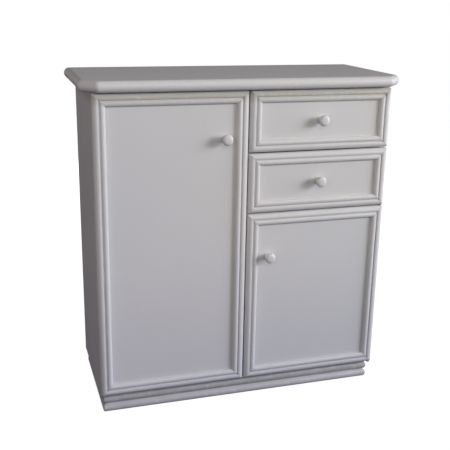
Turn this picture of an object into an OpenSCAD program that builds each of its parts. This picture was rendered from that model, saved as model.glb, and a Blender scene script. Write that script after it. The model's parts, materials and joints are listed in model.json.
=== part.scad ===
// Low painted armoire: one tall door, two drawers over a small door,
// bullnose top with clipped front corners, double-bead plinth.
// +X to the right, -Y to the front, +Z up, origin on the floor under
// the middle of the top.

/* [Overall] */
// Height from the floor to the top face
total_h = 905; // [845:1:965]
// Width of the top over its edge mouldings
top_w = 866; // [800:1:920]
// Depth from the front of the top to the back
total_d = 358; // [320:1:420]

/* [Top] */
// Thickness of the top
top_t = 29; // [24:1:34]
// Overhang of the top past each side
over_side = 29.5; // [20:0.5:34]
// Overhang of the top past the crest of the fronts
over_front = 20; // [12:1:24]
// Length clipped off each front corner
corner_cut = 40; // [30:1:60]
// Width of the edge moulding of the top
lip_w = 18; // [17:1:24]

/* [Carcass] */
// Thickness of the carcass panels
panel_t = 18; // [16:1:20]
// Thickness of the loose shelves
shelf_t = 16; // [14:1:18]
// Thickness of the back panel
back_t = 3; // [3:0.5:5]
// Gap between the carcass and the back of the fronts
front_gap = 2; // [2:0.5:3]

/* [Plinth] */
// Height of each of the two beads
plinth_bead = 25.5; // [22:0.5:30]
// Depth of the groove between the two beads
plinth_groove = 8; // [4:1:10]
// Thickness of the plinth boards
plinth_t = 18; // [16:1:22]
// Setback of the plinth behind the crest of the fronts
plinth_setback = 18; // [12:1:30]
// Setback of the plinth from each side panel
plinth_inset = 6; // [3:1:14]

/* [Fronts] */
// Thickness of the door and drawer frames
front_t = 19; // [18:1:22]
// Width of the outer round of a frame
edge_w = 15.5; // [14:0.5:17]
// Radius of the outer round of a frame
edge_r = 11; // [10:0.5:12]
// Radius of the rear outer corner of a frame
back_round = 3.5; // [3:0.5:4]
// Radius of the inner bead of a frame
bead_r = 8.5; // [6:0.5:9]
// Depth of the quirk between the round and the bead
quirk = 3.5; // [2:0.5:5]
// Depth of the flat panel behind the crest
panel_recess = 10; // [9:1:11]
// Thickness of the flat panel
infill_t = 7; // [5:1:7]
// Gap between neighbouring fronts
reveal = 3; // [3:0.5:4]
// Gap between the doors and the plinth
bottom_gap = 7.5; // [3:0.5:9]
// Height of the upper drawer front
upper_front_h = 162; // [145:0.5:165]
// Height of the lower drawer front
lower_front_h = 162; // [150:0.5:170]

/* [Drawer boxes] */
// Height of a drawer box
box_h = 110; // [90:1:115]
// Length of a drawer box
box_l = 290; // [260:1:300]
// Thickness of the drawer box boards
box_t = 12; // [12:1:14]
// Thickness of the drawer bottoms
floor_t = 4; // [3:1:5]

/* [Knobs] */
// Diameter of a knob
knob_d = 29; // [24:1:34]
// Length of a knob from the panel to its tip
knob_l = 30; // [22:1:32]
// Distance of a door knob from the free edge of its door
knob_in = 62; // [55:1:75]
// Distance of a door knob below the top of its door
knob_drop = 122; // [100:1:150]

/* [Hidden] */
$fn = 64;
tiny = 0.01;
through = 2;

// colours
paint = "#d9d8d6";
inside_white = "#e4e2dc";
raw_wood = "#cfae82";
hardboard = "#8d6a48";
steel = "#a9abae";
brass = "#b79a55";
grey_plastic = "#6f7275";

// main planes; the knobs reach a little past the top, and the origin is in the middle of all of it
knob_past_top = max(0, knob_l - panel_recess - over_front);
y_top_front = -(total_d - knob_past_top) / 2;
y_crest = y_top_front + over_front;
y_fronts_back = y_crest + front_t;
y_carcass = y_fronts_back + front_gap;
y_back = y_top_front + total_d;
y_sides_back = y_back - back_t;
carcass_w = top_w - 2 * over_side;
x_out = carcass_w / 2;
x_in = x_out - panel_t;
x_div = panel_t / 2;
z_top_under = total_h - top_t;
plinth_h = 2 * plinth_bead;
z_floor_in = plinth_h + panel_t;
carcass_d = y_sides_back - y_carcass;
bay_w = x_in - x_div;

// fronts
frame_w = edge_w + 2 * bead_r;
front_w = (carcass_w - reveal) / 2;
z_front_top = z_top_under - reveal;
z_front_bottom = plinth_h + bottom_gap;
z_upper = z_front_top - upper_front_h;
z_lower = z_upper - reveal - lower_front_h;
z_right_top = z_lower - reveal;
door_left_h = z_front_top - z_front_bottom;
door_right_h = z_right_top - z_front_bottom;
x_left_col = -x_out;
x_right_col = reveal / 2;
y_infill = y_crest + panel_recess;
infill_lap = 7;
glue_line = 0.05;

// fixed shelf under the drawers is centred on the gap below the lower drawer
z_drawer_shelf = z_lower - reveal / 2 - panel_t / 2;

// plinth
x_plinth = x_out - plinth_inset;
y_plinth = y_crest + plinth_setback;
plinth_back_in = 20;
block_size = 32;
block_lift = 6;

// loose shelves
shelf_setback = 8;
shelf_clear = 1;
shelf_rear_clear = 4;
shelf_l = carcass_d - shelf_setback - shelf_rear_clear;
z_shelf_left_lower = 335;
z_shelf_left_upper = 600;
z_shelf_right = 300;
pin_r = 2.5;
pin_in = 8;
pin_out = 8;
pin_from_end = 37;

// pivot hinges
pivot_in = 7;
pivot_from_back = 9;
x_pivot = x_out - pivot_in;
y_pivot = y_fronts_back - pivot_from_back;
pin_axle_r = 2.5;
pin_axle_l = 11.5;
bush_r = 4;
bush_l = 9;
bush_in = 3;
run_clear = 0.05;
fit_clear = 0.02;
tab_r = 5;
tab_t = 1.6;
tab_clear = (reveal - tab_t) / 2;
leaf_w = 14;
leaf_h = 40;
leaf_t = 2;
seat_open = 10;
bracket_screw_r = 1.7;
bracket_screw_l = 18;
bracket_screw_zs = [-12, -30];

// the pivot axis is the origin of a bracket
leaf_x = x_out - x_pivot - (panel_t - leaf_w) / 2;
leaf_y = y_carcass - y_pivot;

// drawers
box_clear = 1.5;
box_w = bay_w - 2 * box_clear;
x_box = x_div + box_clear;
runner_h = 16;
runner_t = 7;
runner_slot_d = 6;
runner_slot_clear = 0.3;
runner_setback = 9;
slot_setback = 8;
z_box_upper = z_upper + 20;
z_box_lower = z_lower + 22;
floor_up = 10;
floor_slot = 5;
floor_play = 0.2;
floor_edge_play = 0.5;

// knobs
screw_r = 2;
screw_head_r = 4;
screw_head_t = 2.5;
screw_in_knob = 12;
screw_play = 0.2;
screw_hole_l = 40;
knob_head_l = 12;
knob_head_lap = 8;
knob_dome_r = 36;
knob_foot_in = 5;
knob_foot_h = 2.5;
x_knob_drawer = x_right_col + front_w / 2;
x_knob_left = -reveal / 2 - knob_in;
x_knob_right = reveal / 2 + knob_in;
z_knob_left = z_front_top - knob_drop;
z_knob_right = z_right_top - knob_drop;
z_knob_upper = z_upper + upper_front_h / 2;
z_knob_lower = z_lower + lower_front_h / 2;

// dowels
dowel_r = 4;
dowel_l = 35;
dowel_from_end = 35;
dowel_ys = [y_carcass + dowel_from_end, (y_carcass + y_sides_back) / 2, y_sides_back - dowel_from_end];
dowel_short = 12;
dowel_long = dowel_l - dowel_short;
dowel_in_divider = 7;
divider_dowel_l = 30;

// catches
catch_l = 40;
catch_h = 14;
catch_d = 18;
catch_from_div = 12;
catch_air = 0.3;
catch_hole_r = 1.8;
catch_pilot_r = 1.5;
catch_pilot_l = 10;
strike_t = 1;
strike_end_in = 4;
strike_edge_in = 1;
strike_drop = 2;

// back panel screws
back_screw_r = 1.6;
back_screw_l = 22;
back_head_r = 3.3;
back_head_t = 1.5;
back_screw_from_end = 60;
back_screw_zs = [
  z_floor_in + back_screw_from_end,
  (z_floor_in + z_top_under) / 2,
  z_top_under - back_screw_from_end
];
back_side_in = 2;

// ---------- helpers ----------

// box given by its lowest and highest corner
module block(a, b) {
  translate(a) cube(b - a);
}

// flat outline in X and Z, from depth y0 to y1
module front_slab(y0, y1) {
  translate([0, y1, 0]) rotate([90, 0, 0]) linear_extrude(y1 - y0) children();
}

// section of a frame member: X is the depth behind the crest, Y the distance from the outer edge
module frame_section() {
  side_t = front_t - edge_r - back_round;
  difference() {
    union() {
      intersection() {
        translate([edge_r, edge_r]) circle(r = edge_r, $fn = 96);
        square([edge_r, edge_w]);
      }
      translate([edge_r, 0]) square([side_t, edge_w]);
      translate([edge_r, back_round]) square([front_t - edge_r, edge_w - back_round]);
      translate([front_t - back_round, back_round]) circle(r = back_round, $fn = 32);
      translate([quirk, edge_w - tiny]) square([front_t - quirk, bead_r + tiny]);
      translate([bead_r, edge_w + bead_r]) circle(r = bead_r, $fn = 64);
      translate([bead_r, edge_w + bead_r]) square([front_t - bead_r, bead_r]);
    }
    translate([panel_recess, frame_w - bead_r]) square([front_t, bead_r + through]);
  }
}

// bottom member of a frame with mitred ends, from X 0 to len, crest at Y 0, outer edge at Z 0;
// a glue line is left at each mitre
module frame_member(len) {
  a = glue_line;
  b = frame_w + glue_line;
  intersection() {
    rotate([90, 0, 90]) linear_extrude(len) frame_section();
    front_slab(-through, front_t + through) polygon([[a, 0], [len - a, 0], [len - b, frame_w], [b, frame_w]]);
  }
}

// the four places of a member on a front whose lower left corner is at x, z
module place_bottom(x, z) {
  translate([x, y_crest, z]) children();
}
module place_top(x, z, h) {
  translate([x, y_crest, z + h]) mirror([0, 0, 1]) children();
}
module place_left(x, z) {
  translate([x, y_crest, z]) mirror([1, 0, -1]) children();
}
module place_right(x, z, w) {
  translate([x + w, y_crest, z]) mirror([1, 0, 0]) mirror([1, 0, -1]) children();
}

// flat panel held in the rebates of a frame
module infill(x, z, w, h, kx, kz) {
  lap = frame_w - infill_lap;
  difference() {
    block([x + lap, y_infill, z + lap], [x + w - lap, y_infill + infill_t, z + h - lap]);
    knob_hole(kx, kz);
  }
}

// clearance hole of a knob screw, right through the front
module knob_hole(x, z) {
  translate([x, y_infill - through, z]) rotate([-90, 0, 0])
    cylinder(r = screw_r + screw_play, h = screw_hole_l);
}

// turned knob, pointing to the front, on the face of the flat panel
module knob(x, z) {
  head_z = knob_l - knob_head_l;
  translate([x, y_infill, z]) rotate([90, 0, 0]) difference() {
    rotate_extrude($fn = 96) {
      square([knob_d / 2 - knob_foot_in, knob_foot_h]);
      square([knob_d / 4, head_z]);
      intersection() {
        translate([0, head_z]) circle(r = knob_d / 2, $fn = 96);
        translate([0, knob_l - knob_dome_r]) circle(r = knob_dome_r, $fn = 96);
        translate([0, head_z - knob_head_lap]) square([knob_d, knob_l]);
      }
    }
    translate([0, 0, -tiny]) cylinder(r = screw_r + fit_clear, h = screw_in_knob + tiny);
  }
}

// screw of a knob; back is the Y of the face that its head lies on
module knob_screw(x, z, back) {
  translate([x, y_infill - screw_in_knob + 1, z]) rotate([-90, 0, 0])
    cylinder(r = screw_r, h = back - y_infill + screw_in_knob - 1 + tiny);
  translate([x, back, z]) rotate([-90, 0, 0]) cylinder(r = screw_head_r, h = screw_head_t);
}

// ---------- top ----------

// outline of the top, drawn in by inset
function top_outline(inset) =
  let (
    xo = top_w / 2 - inset,
    yf = y_top_front + inset,
    c = corner_cut - inset * (2 - sqrt(2))
  )
  [[-xo, y_back], [-xo, yf + c], [-xo + c, yf], [xo - c, yf], [xo, yf + c], [xo, y_back]];

// piece of the edge moulding between outline points i and i + 1
module lipping(i) {
  outer = top_outline(0);
  inner = top_outline(lip_w);
  a = outer[i];
  b = outer[i + 1];
  dir = b - a;
  intersection() {
    translate([0, 0, z_top_under - through]) linear_extrude(top_t + 2 * through)
      polygon([a, b, inner[i + 1], inner[i]]);
    translate([a[0], a[1], z_top_under]) rotate([0, 0, atan2(dir[1], dir[0])])
      rotate([90, 0, 90]) linear_extrude(norm(dir)) lipping_section();
  }
}

// section of the edge moulding: X is the distance in from the edge, Y is up
module lipping_section() {
  r = top_t / 2;
  translate([r, r]) circle(r = r, $fn = 96);
  translate([r, 0]) square([lip_w - r + through, top_t]);
}

module top_board() {
  color(paint) difference() {
    translate([0, 0, z_top_under]) linear_extrude(top_t) polygon(top_outline(lip_w));
    vertical_dowels(z_top_under - dowel_long, fit_clear);
    catch_screw_hole(-1, z_top_under);
  }
}

module top_lipping_front() {
  color(paint) lipping(2);
}

module top_lipping_left() {
  color(paint) lipping(0);
}

module top_lipping_right() {
  color(paint) lipping(4);
}

module top_lipping_corners() {
  color(paint) {
    lipping(1);
    lipping(3);
  }
}

// ---------- dowels ----------

// dowels that stand in the top ends of the sides and the divider
module vertical_dowels(z, extra) {
  for (x = [-(x_in + panel_t / 2), 0, x_in + panel_t / 2], y = dowel_ys)
    translate([x, y, z]) cylinder(r = dowel_r + extra, h = dowel_l);
}

// dowels between the divider and the bottom panel
module divider_foot_dowels(extra) {
  for (y = dowel_ys)
    translate([0, y, z_floor_in - dowel_short]) cylinder(r = dowel_r + extra, h = dowel_l);
}

// dowels between the sides and the bottom panel
module bottom_dowels(extra) {
  for (s = [-1, 1], y = dowel_ys)
    translate([s * (x_in - dowel_long), y, plinth_h + panel_t / 2]) rotate([0, s * 90, 0])
      cylinder(r = dowel_r + extra, h = dowel_l);
}

// dowels between the fixed drawer shelf, the divider and the right side
module shelf_dowels(extra) {
  z = z_drawer_shelf + panel_t / 2;
  for (y = [dowel_ys[0], dowel_ys[2]]) {
    translate([x_in - dowel_long, y, z]) rotate([0, 90, 0]) cylinder(r = dowel_r + extra, h = dowel_l);
    translate([x_div - dowel_in_divider, y, z]) rotate([0, 90, 0])
      cylinder(r = dowel_r + extra, h = divider_dowel_l);
  }
}

module carcass_dowels() {
  color(raw_wood) {
    vertical_dowels(z_top_under - dowel_long, 0);
    divider_foot_dowels(0);
    bottom_dowels(0);
    shelf_dowels(0);
  }
}

// ---------- carcass ----------

// holes of the shelf pins; s is the side that the wall is on
module pin_holes(x, s, z, extra) {
  for (y = [y_carcass + shelf_setback + pin_from_end, y_carcass + shelf_setback + shelf_l - pin_from_end])
    translate([x - s * pin_out, y, z - pin_r]) rotate([0, s * 90, 0])
      cylinder(r = pin_r + extra, h = pin_in + pin_out + extra);
}

module left_bay_pins(extra) {
  for (z = [z_shelf_left_lower, z_shelf_left_upper]) {
    pin_holes(-x_in, -1, z, extra);
    pin_holes(-x_div, 1, z, extra);
  }
}

module right_bay_pins(extra) {
  pin_holes(x_in, 1, z_shelf_right, extra);
  pin_holes(x_div, -1, z_shelf_right, extra);
}

module shelf_pins() {
  color(steel) {
    left_bay_pins(0);
    right_bay_pins(0);
  }
}

// screws that hold the back panel to the sides and the divider
module back_screws(extra) {
  for (x = [-(x_in + panel_t / 2), 0, x_in + panel_t / 2], z = back_screw_zs) {
    translate([x, y_back - back_screw_l, z]) rotate([-90, 0, 0])
      cylinder(r = back_screw_r + extra, h = back_screw_l);
    translate([x, y_back - back_head_t - extra, z]) rotate([-90, 0, 0])
      cylinder(r = back_head_r + extra, h = back_head_t + extra);
  }
}

module back_panel_screws() {
  color(steel) back_screws(0);
}

module side_panel(s) {
  difference() {
    block(
      [s > 0 ? x_in : -x_out, y_carcass, plinth_h],
      [s > 0 ? x_out : -x_in, y_sides_back, z_top_under]
    );
    vertical_dowels(z_top_under - dowel_long, fit_clear);
    bottom_dowels(fit_clear);
    back_screws(fit_clear);
    bracket_seats();
    bracket_screw_set(fit_clear);
    if (s > 0) {
      shelf_dowels(fit_clear);
      right_bay_pins(fit_clear);
    } else {
      left_bay_pins(fit_clear);
    }
  }
}

module side_panel_left() {
  color(paint) side_panel(-1);
}

module side_panel_right() {
  color(paint) side_panel(1);
}

module center_divider() {
  color(inside_white) difference() {
    block([-x_div, y_carcass, z_floor_in], [x_div, y_sides_back, z_top_under]);
    vertical_dowels(z_top_under - dowel_long, fit_clear);
    divider_foot_dowels(fit_clear);
    shelf_dowels(fit_clear);
    back_screws(fit_clear);
    left_bay_pins(fit_clear);
    right_bay_pins(fit_clear);
  }
}

module bottom_panel() {
  color(inside_white) difference() {
    block([-x_in, y_carcass, plinth_h], [x_in, y_sides_back, z_floor_in]);
    bottom_dowels(fit_clear);
    divider_foot_dowels(fit_clear);
  }
}

module drawer_shelf() {
  color(inside_white) difference() {
    block([x_div, y_carcass, z_drawer_shelf], [x_in, y_sides_back, z_drawer_shelf + panel_t]);
    shelf_dowels(fit_clear);
    catch_screw_hole(1, z_drawer_shelf);
  }
}

module back_panel() {
  color(hardboard) difference() {
    block([-x_out + back_side_in, y_sides_back, plinth_h], [x_out - back_side_in, y_back, z_top_under]);
    back_screws(fit_clear);
  }
}

module loose_shelf(x0, x1, z) {
  block(
    [x0 + shelf_clear, y_carcass + shelf_setback, z],
    [x1 - shelf_clear, y_carcass + shelf_setback + shelf_l, z + shelf_t]
  );
}

module shelf_left_upper() {
  color(inside_white) loose_shelf(-x_in, -x_div, z_shelf_left_upper);
}

module shelf_left_lower() {
  color(inside_white) loose_shelf(-x_in, -x_div, z_shelf_left_lower);
}

module shelf_right() {
  color(inside_white) loose_shelf(x_div, x_in, z_shelf_right);
}

// ---------- plinth ----------

// section of a plinth board: X is the depth behind its crest, Y is up
module plinth_section() {
  r = plinth_bead / 2;
  for (z = [r, plinth_bead + r]) translate([r, z]) circle(r = r, $fn = 64);
  translate([plinth_groove, 0]) square([plinth_t - plinth_groove, plinth_h]);
}

module plinth_front() {
  color(paint) intersection() {
    translate([-x_plinth, y_plinth, 0]) rotate([90, 0, 90]) linear_extrude(2 * x_plinth) plinth_section();
    translate([0, 0, -through]) linear_extrude(plinth_h + 2 * through) polygon([
      [-x_plinth, y_plinth], [x_plinth, y_plinth],
      [x_plinth - plinth_t, y_plinth + plinth_t], [-x_plinth + plinth_t, y_plinth + plinth_t]
    ]);
  }
}

// side board with its crest to the right and a mitre at its front end
module plinth_side() {
  intersection() {
    translate([x_plinth, y_plinth, 0]) mirror([1, 0, 0]) mirror([1, -1, 0]) rotate([90, 0, 90])
      linear_extrude(y_sides_back - y_plinth) plinth_section();
    translate([0, 0, -through]) linear_extrude(plinth_h + 2 * through) polygon([
      [x_plinth, y_plinth], [x_plinth, y_sides_back],
      [x_plinth - plinth_t, y_sides_back], [x_plinth - plinth_t, y_plinth + plinth_t]
    ]);
  }
}

module plinth_right() {
  color(paint) plinth_side();
}

module plinth_left() {
  color(paint) mirror([1, 0, 0]) plinth_side();
}

module plinth_back() {
  color(raw_wood) block(
    [-x_plinth + plinth_t, y_sides_back - plinth_back_in - plinth_t, 0],
    [x_plinth - plinth_t, y_sides_back - plinth_back_in, plinth_h]
  );
}

module plinth_blocks() {
  x = x_plinth - plinth_t - block_size;
  y_front = y_plinth + plinth_t;
  y_rear = y_sides_back - plinth_back_in - plinth_t - block_size;
  color(raw_wood) for (s = [0, 1], y = [y_front, y_rear]) mirror([s, 0, 0])
    block([x, y, block_lift], [x + block_size, y + block_size, plinth_h]);
}

// ---------- pivot hinges ----------

// children are drawn at the four pivots, with the tab upwards and the pin down at each top pivot
module at_pivots() {
  for (m = [0, 1]) mirror([m, 0, 0]) {
    translate([x_pivot, y_pivot, z_front_bottom]) mirror([0, 0, 1]) children();
    translate([x_pivot, y_pivot, m == 1 ? z_front_top : z_right_top]) children();
  }
}

// bracket of a right-hand top pivot; the origin is on the pivot axis at the edge of the door
module bracket() {
  translate([0, 0, tab_clear]) {
    cylinder(r = tab_r, h = tab_t);
    block([-tab_r, 0, 0], [tab_r, leaf_y + leaf_t, tab_t]);
    block([leaf_x - leaf_w, leaf_y, tab_t - leaf_h], [leaf_x, leaf_y + leaf_t, tab_t]);
  }
  translate([0, 0, tab_clear - pin_axle_l]) cylinder(r = pin_axle_r, h = pin_axle_l + tiny);
}

module pivot_brackets() {
  color(steel) at_pivots() bracket();
}

// recesses of the bracket leaves in the front edges of the sides
module bracket_seats() {
  at_pivots()
    block(
      [leaf_x - leaf_w - fit_clear, leaf_y - through, tab_clear + tab_t - leaf_h - fit_clear],
      [leaf_x + fit_clear, leaf_y + leaf_t + fit_clear, tab_clear + tab_t + seat_open]
    );
}

// screws through the bracket leaves
module bracket_screw_set(extra) {
  at_pivots() for (z = bracket_screw_zs)
    translate([leaf_x - leaf_w / 2, leaf_y + leaf_t, z]) rotate([-90, 0, 0])
      cylinder(r = bracket_screw_r + extra, h = bracket_screw_l + extra);
}

module bracket_screws() {
  color(steel) bracket_screw_set(0);
}

// brass bushes of a door, set in a little from its lower and upper edge; m is 1 on the left door
module bushes(m, z_top) {
  for (z = [z_front_bottom + bush_in, z_top - bush_in - bush_l]) mirror([m, 0, 0])
    translate([x_pivot, y_pivot, z]) difference() {
      cylinder(r = bush_r, h = bush_l);
      translate([0, 0, -through]) cylinder(r = pin_axle_r + run_clear, h = bush_l + 2 * through);
    }
}

module bush_holes(m, z_top) {
  depth = bush_in + bush_l + fit_clear;
  for (z = [z_front_bottom - through, z_top - depth]) mirror([m, 0, 0])
    translate([x_pivot, y_pivot, z]) cylinder(r = bush_r + fit_clear, h = depth + through);
}

// ---------- catches ----------

// magnetic catch under a panel whose underside is at z; s is the side of the divider
module catch_body(s, z) {
  x0 = x_div + catch_from_div;
  y0 = y_fronts_back + strike_t + catch_air;
  mirror([s < 0 ? 1 : 0, 0, 0]) difference() {
    block([x0, y0, z - catch_h], [x0 + catch_l, y0 + catch_d, z]);
    translate([x0 + catch_l / 2, y0 + catch_d / 2, z - catch_h - through])
      cylinder(r = catch_hole_r, h = catch_h + 2 * through);
  }
}

// pilot hole for the screw of a catch
module catch_screw_hole(s, z) {
  translate([
    s * (x_div + catch_from_div + catch_l / 2),
    y_fronts_back + strike_t + catch_air + catch_d / 2,
    z - through
  ]) cylinder(r = catch_pilot_r, h = catch_pilot_l + through);
}

module magnetic_catches() {
  color(grey_plastic) {
    catch_body(-1, z_top_under);
    catch_body(1, z_drawer_shelf);
  }
}

// steel plate on the back of a door, in front of the catch under z
module strike(s, z) {
  x0 = x_div + catch_from_div + strike_end_in;
  mirror([s < 0 ? 1 : 0, 0, 0]) block(
    [x0, y_fronts_back, z - catch_h + strike_edge_in],
    [x0 + catch_l - 2 * strike_end_in, y_fronts_back + strike_t, z - strike_edge_in]
  );
}

// ---------- doors ----------

module door_left_panel() {
  color(paint) infill(x_left_col, z_front_bottom, front_w, door_left_h, x_knob_left, z_knob_left);
}

module door_left_stile_hinge() {
  color(paint) difference() {
    place_left(x_left_col, z_front_bottom) frame_member(door_left_h);
    bush_holes(1, z_front_top);
  }
}

module door_left_stile_knob() {
  color(paint) place_right(x_left_col, z_front_bottom, front_w) frame_member(door_left_h);
}

module door_left_rail_top() {
  color(paint) difference() {
    place_top(x_left_col, z_front_bottom, door_left_h) frame_member(front_w);
    bush_holes(1, z_front_top);
  }
}

module door_left_rail_bottom() {
  color(paint) difference() {
    place_bottom(x_left_col, z_front_bottom) frame_member(front_w);
    bush_holes(1, z_front_top);
  }
}

module door_left_knob() {
  color(paint) knob(x_knob_left, z_knob_left);
}

module door_left_knob_screw() {
  color(steel) knob_screw(x_knob_left, z_knob_left, y_infill + infill_t);
}

module door_left_pivot_bushes() {
  color(brass) bushes(1, z_front_top);
}

module door_left_strike_plate() {
  color(steel) strike(-1, z_front_top - strike_drop);
}

module door_right_panel() {
  color(paint) infill(x_right_col, z_front_bottom, front_w, door_right_h, x_knob_right, z_knob_right);
}

module door_right_stile_hinge() {
  color(paint) difference() {
    place_right(x_right_col, z_front_bottom, front_w) frame_member(door_right_h);
    bush_holes(0, z_right_top);
  }
}

module door_right_stile_knob() {
  color(paint) place_left(x_right_col, z_front_bottom) frame_member(door_right_h);
}

module door_right_rail_top() {
  color(paint) difference() {
    place_top(x_right_col, z_front_bottom, door_right_h) frame_member(front_w);
    bush_holes(0, z_right_top);
  }
}

module door_right_rail_bottom() {
  color(paint) difference() {
    place_bottom(x_right_col, z_front_bottom) frame_member(front_w);
    bush_holes(0, z_right_top);
  }
}

module door_right_knob() {
  color(paint) knob(x_knob_right, z_knob_right);
}

module door_right_knob_screw() {
  color(steel) knob_screw(x_knob_right, z_knob_right, y_infill + infill_t);
}

module door_right_pivot_bushes() {
  color(brass) bushes(0, z_right_top);
}

module door_right_strike_plate() {
  color(steel) strike(1, z_drawer_shelf);
}

// ---------- drawers ----------

module drawer_frame(z, h) {
  place_bottom(x_right_col, z) frame_member(front_w);
  place_top(x_right_col, z, h) frame_member(front_w);
  place_left(x_right_col, z) frame_member(h);
  place_right(x_right_col, z, front_w) frame_member(h);
}

// space of the drawer bottom, with its edges in the grooves of the four boards
module drawer_floor(z, extra) {
  e = floor_slot - floor_edge_play + extra;
  block(
    [x_box + box_t - e, y_fronts_back + box_t - e, z + floor_up - extra / 2],
    [x_box + box_w - box_t + e, y_fronts_back + box_l - box_t + e, z + floor_up + floor_t + extra / 2]
  );
}

module drawer_side_boards(z) {
  slot_z = z + (box_h - runner_h) / 2 - runner_slot_clear;
  for (m = [0, 1]) translate([m * (2 * x_box + box_w), 0, 0]) mirror([m, 0, 0]) difference() {
    block([x_box, y_fronts_back, z], [x_box + box_t, y_fronts_back + box_l, z + box_h]);
    block(
      [x_box - through, y_carcass + slot_setback, slot_z],
      [x_box + runner_slot_d, y_fronts_back + box_l + through, slot_z + runner_h + 2 * runner_slot_clear]
    );
    drawer_floor(z, floor_play);
  }
}

// board across the box at depth y
module drawer_cross_board(z, y, hx, hz) {
  difference() {
    block([x_box + box_t, y, z], [x_box + box_w - box_t, y + box_t, z + box_h]);
    drawer_floor(z, floor_play);
    knob_hole(hx, hz);
  }
}

// the four wooden runners that the drawers slide on
module drawer_runners() {
  color(raw_wood) for (z = [z_box_upper, z_box_lower], x = [x_div, x_in - runner_t])
    block(
      [x, y_carcass + runner_setback, z + (box_h - runner_h) / 2],
      [x + runner_t, y_carcass + runner_setback + box_l, z + (box_h + runner_h) / 2]
    );
}

module drawer_upper_panel() {
  color(paint) infill(x_right_col, z_upper, front_w, upper_front_h, x_knob_drawer, z_knob_upper);
}

module drawer_upper_frame() {
  color(paint) drawer_frame(z_upper, upper_front_h);
}

module drawer_upper_sides() {
  color(raw_wood) drawer_side_boards(z_box_upper);
}

module drawer_upper_box_front() {
  color(raw_wood) drawer_cross_board(z_box_upper, y_fronts_back, x_knob_drawer, z_knob_upper);
}

module drawer_upper_box_back() {
  color(raw_wood) drawer_cross_board(z_box_upper, y_fronts_back + box_l - box_t, x_knob_drawer, z_knob_upper);
}

module drawer_upper_bottom() {
  color(hardboard) drawer_floor(z_box_upper, 0);
}

module drawer_upper_knob() {
  color(paint) knob(x_knob_drawer, z_knob_upper);
}

module drawer_upper_knob_screw() {
  color(steel) knob_screw(x_knob_drawer, z_knob_upper, y_fronts_back + box_t);
}

module drawer_lower_panel() {
  color(paint) infill(x_right_col, z_lower, front_w, lower_front_h, x_knob_drawer, z_knob_lower);
}

module drawer_lower_frame() {
  color(paint) drawer_frame(z_lower, lower_front_h);
}

module drawer_lower_sides() {
  color(raw_wood) drawer_side_boards(z_box_lower);
}

module drawer_lower_box_front() {
  color(raw_wood) drawer_cross_board(z_box_lower, y_fronts_back, x_knob_drawer, z_knob_lower);
}

module drawer_lower_box_back() {
  color(raw_wood) drawer_cross_board(z_box_lower, y_fronts_back + box_l - box_t, x_knob_drawer, z_knob_lower);
}

module drawer_lower_bottom() {
  color(hardboard) drawer_floor(z_box_lower, 0);
}

module drawer_lower_knob() {
  color(paint) knob(x_knob_drawer, z_knob_lower);
}

module drawer_lower_knob_screw() {
  color(steel) knob_screw(x_knob_drawer, z_knob_lower, y_fronts_back + box_t);
}

// ---------- nodes ----------

top_board();
top_lipping_front();
top_lipping_left();
top_lipping_right();
top_lipping_corners();
side_panel_left();
side_panel_right();
center_divider();
bottom_panel();
drawer_shelf();
back_panel();
shelf_left_upper();
shelf_left_lower();
shelf_right();
shelf_pins();
plinth_front();
plinth_left();
plinth_right();
plinth_back();
plinth_blocks();
pivot_brackets();
bracket_screws();
magnetic_catches();
drawer_runners();
carcass_dowels();
back_panel_screws();
door_left_panel();
door_left_stile_hinge();
door_left_stile_knob();
door_left_rail_top();
door_left_rail_bottom();
door_left_knob();
door_left_knob_screw();
door_left_pivot_bushes();
door_left_strike_plate();
door_right_panel();
door_right_stile_hinge();
door_right_stile_knob();
door_right_rail_top();
door_right_rail_bottom();
door_right_knob();
door_right_knob_screw();
door_right_pivot_bushes();
door_right_strike_plate();
drawer_upper_panel();
drawer_upper_frame();
drawer_upper_sides();
drawer_upper_box_front();
drawer_upper_box_back();
drawer_upper_bottom();
drawer_upper_knob();
drawer_upper_knob_screw();
drawer_lower_panel();
drawer_lower_frame();
drawer_lower_sides();
drawer_lower_box_front();
drawer_lower_box_back();
drawer_lower_bottom();
drawer_lower_knob();
drawer_lower_knob_screw();
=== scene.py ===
"""Looks of the low painted armoire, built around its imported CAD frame. All lengths are in metres."""
import json
import math

import bmesh
import bpy
from mathutils import Matrix, Vector


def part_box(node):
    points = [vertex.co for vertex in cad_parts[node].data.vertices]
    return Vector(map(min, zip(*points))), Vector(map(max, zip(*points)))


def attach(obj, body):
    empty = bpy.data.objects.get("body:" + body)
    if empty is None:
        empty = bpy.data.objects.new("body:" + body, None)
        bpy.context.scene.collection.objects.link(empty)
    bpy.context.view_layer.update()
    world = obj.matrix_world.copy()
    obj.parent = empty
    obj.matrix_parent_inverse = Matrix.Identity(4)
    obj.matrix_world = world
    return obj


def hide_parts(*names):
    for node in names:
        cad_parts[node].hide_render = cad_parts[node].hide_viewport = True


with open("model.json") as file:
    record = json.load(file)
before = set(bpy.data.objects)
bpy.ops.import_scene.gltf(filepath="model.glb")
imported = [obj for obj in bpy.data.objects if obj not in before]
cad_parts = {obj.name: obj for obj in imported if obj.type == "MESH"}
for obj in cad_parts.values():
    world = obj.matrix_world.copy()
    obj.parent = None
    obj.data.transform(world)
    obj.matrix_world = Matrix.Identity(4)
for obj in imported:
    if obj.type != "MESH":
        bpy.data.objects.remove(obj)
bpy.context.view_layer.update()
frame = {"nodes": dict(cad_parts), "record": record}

MM = 0.001
X_AXIS, Y_AXIS, Z_AXIS = Vector((1, 0, 0)), Vector((0, 1, 0)), Vector((0, 0, 1))

RECORD = frame["record"]
NODES = frame["nodes"]
BODY_OF = {node: body for body, members in RECORD["behaviour"]["bodies"].items() for node in members}
SLOT_OF = {part["node"]: part["material_slot"] for part in RECORD["subparts"]}

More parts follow.
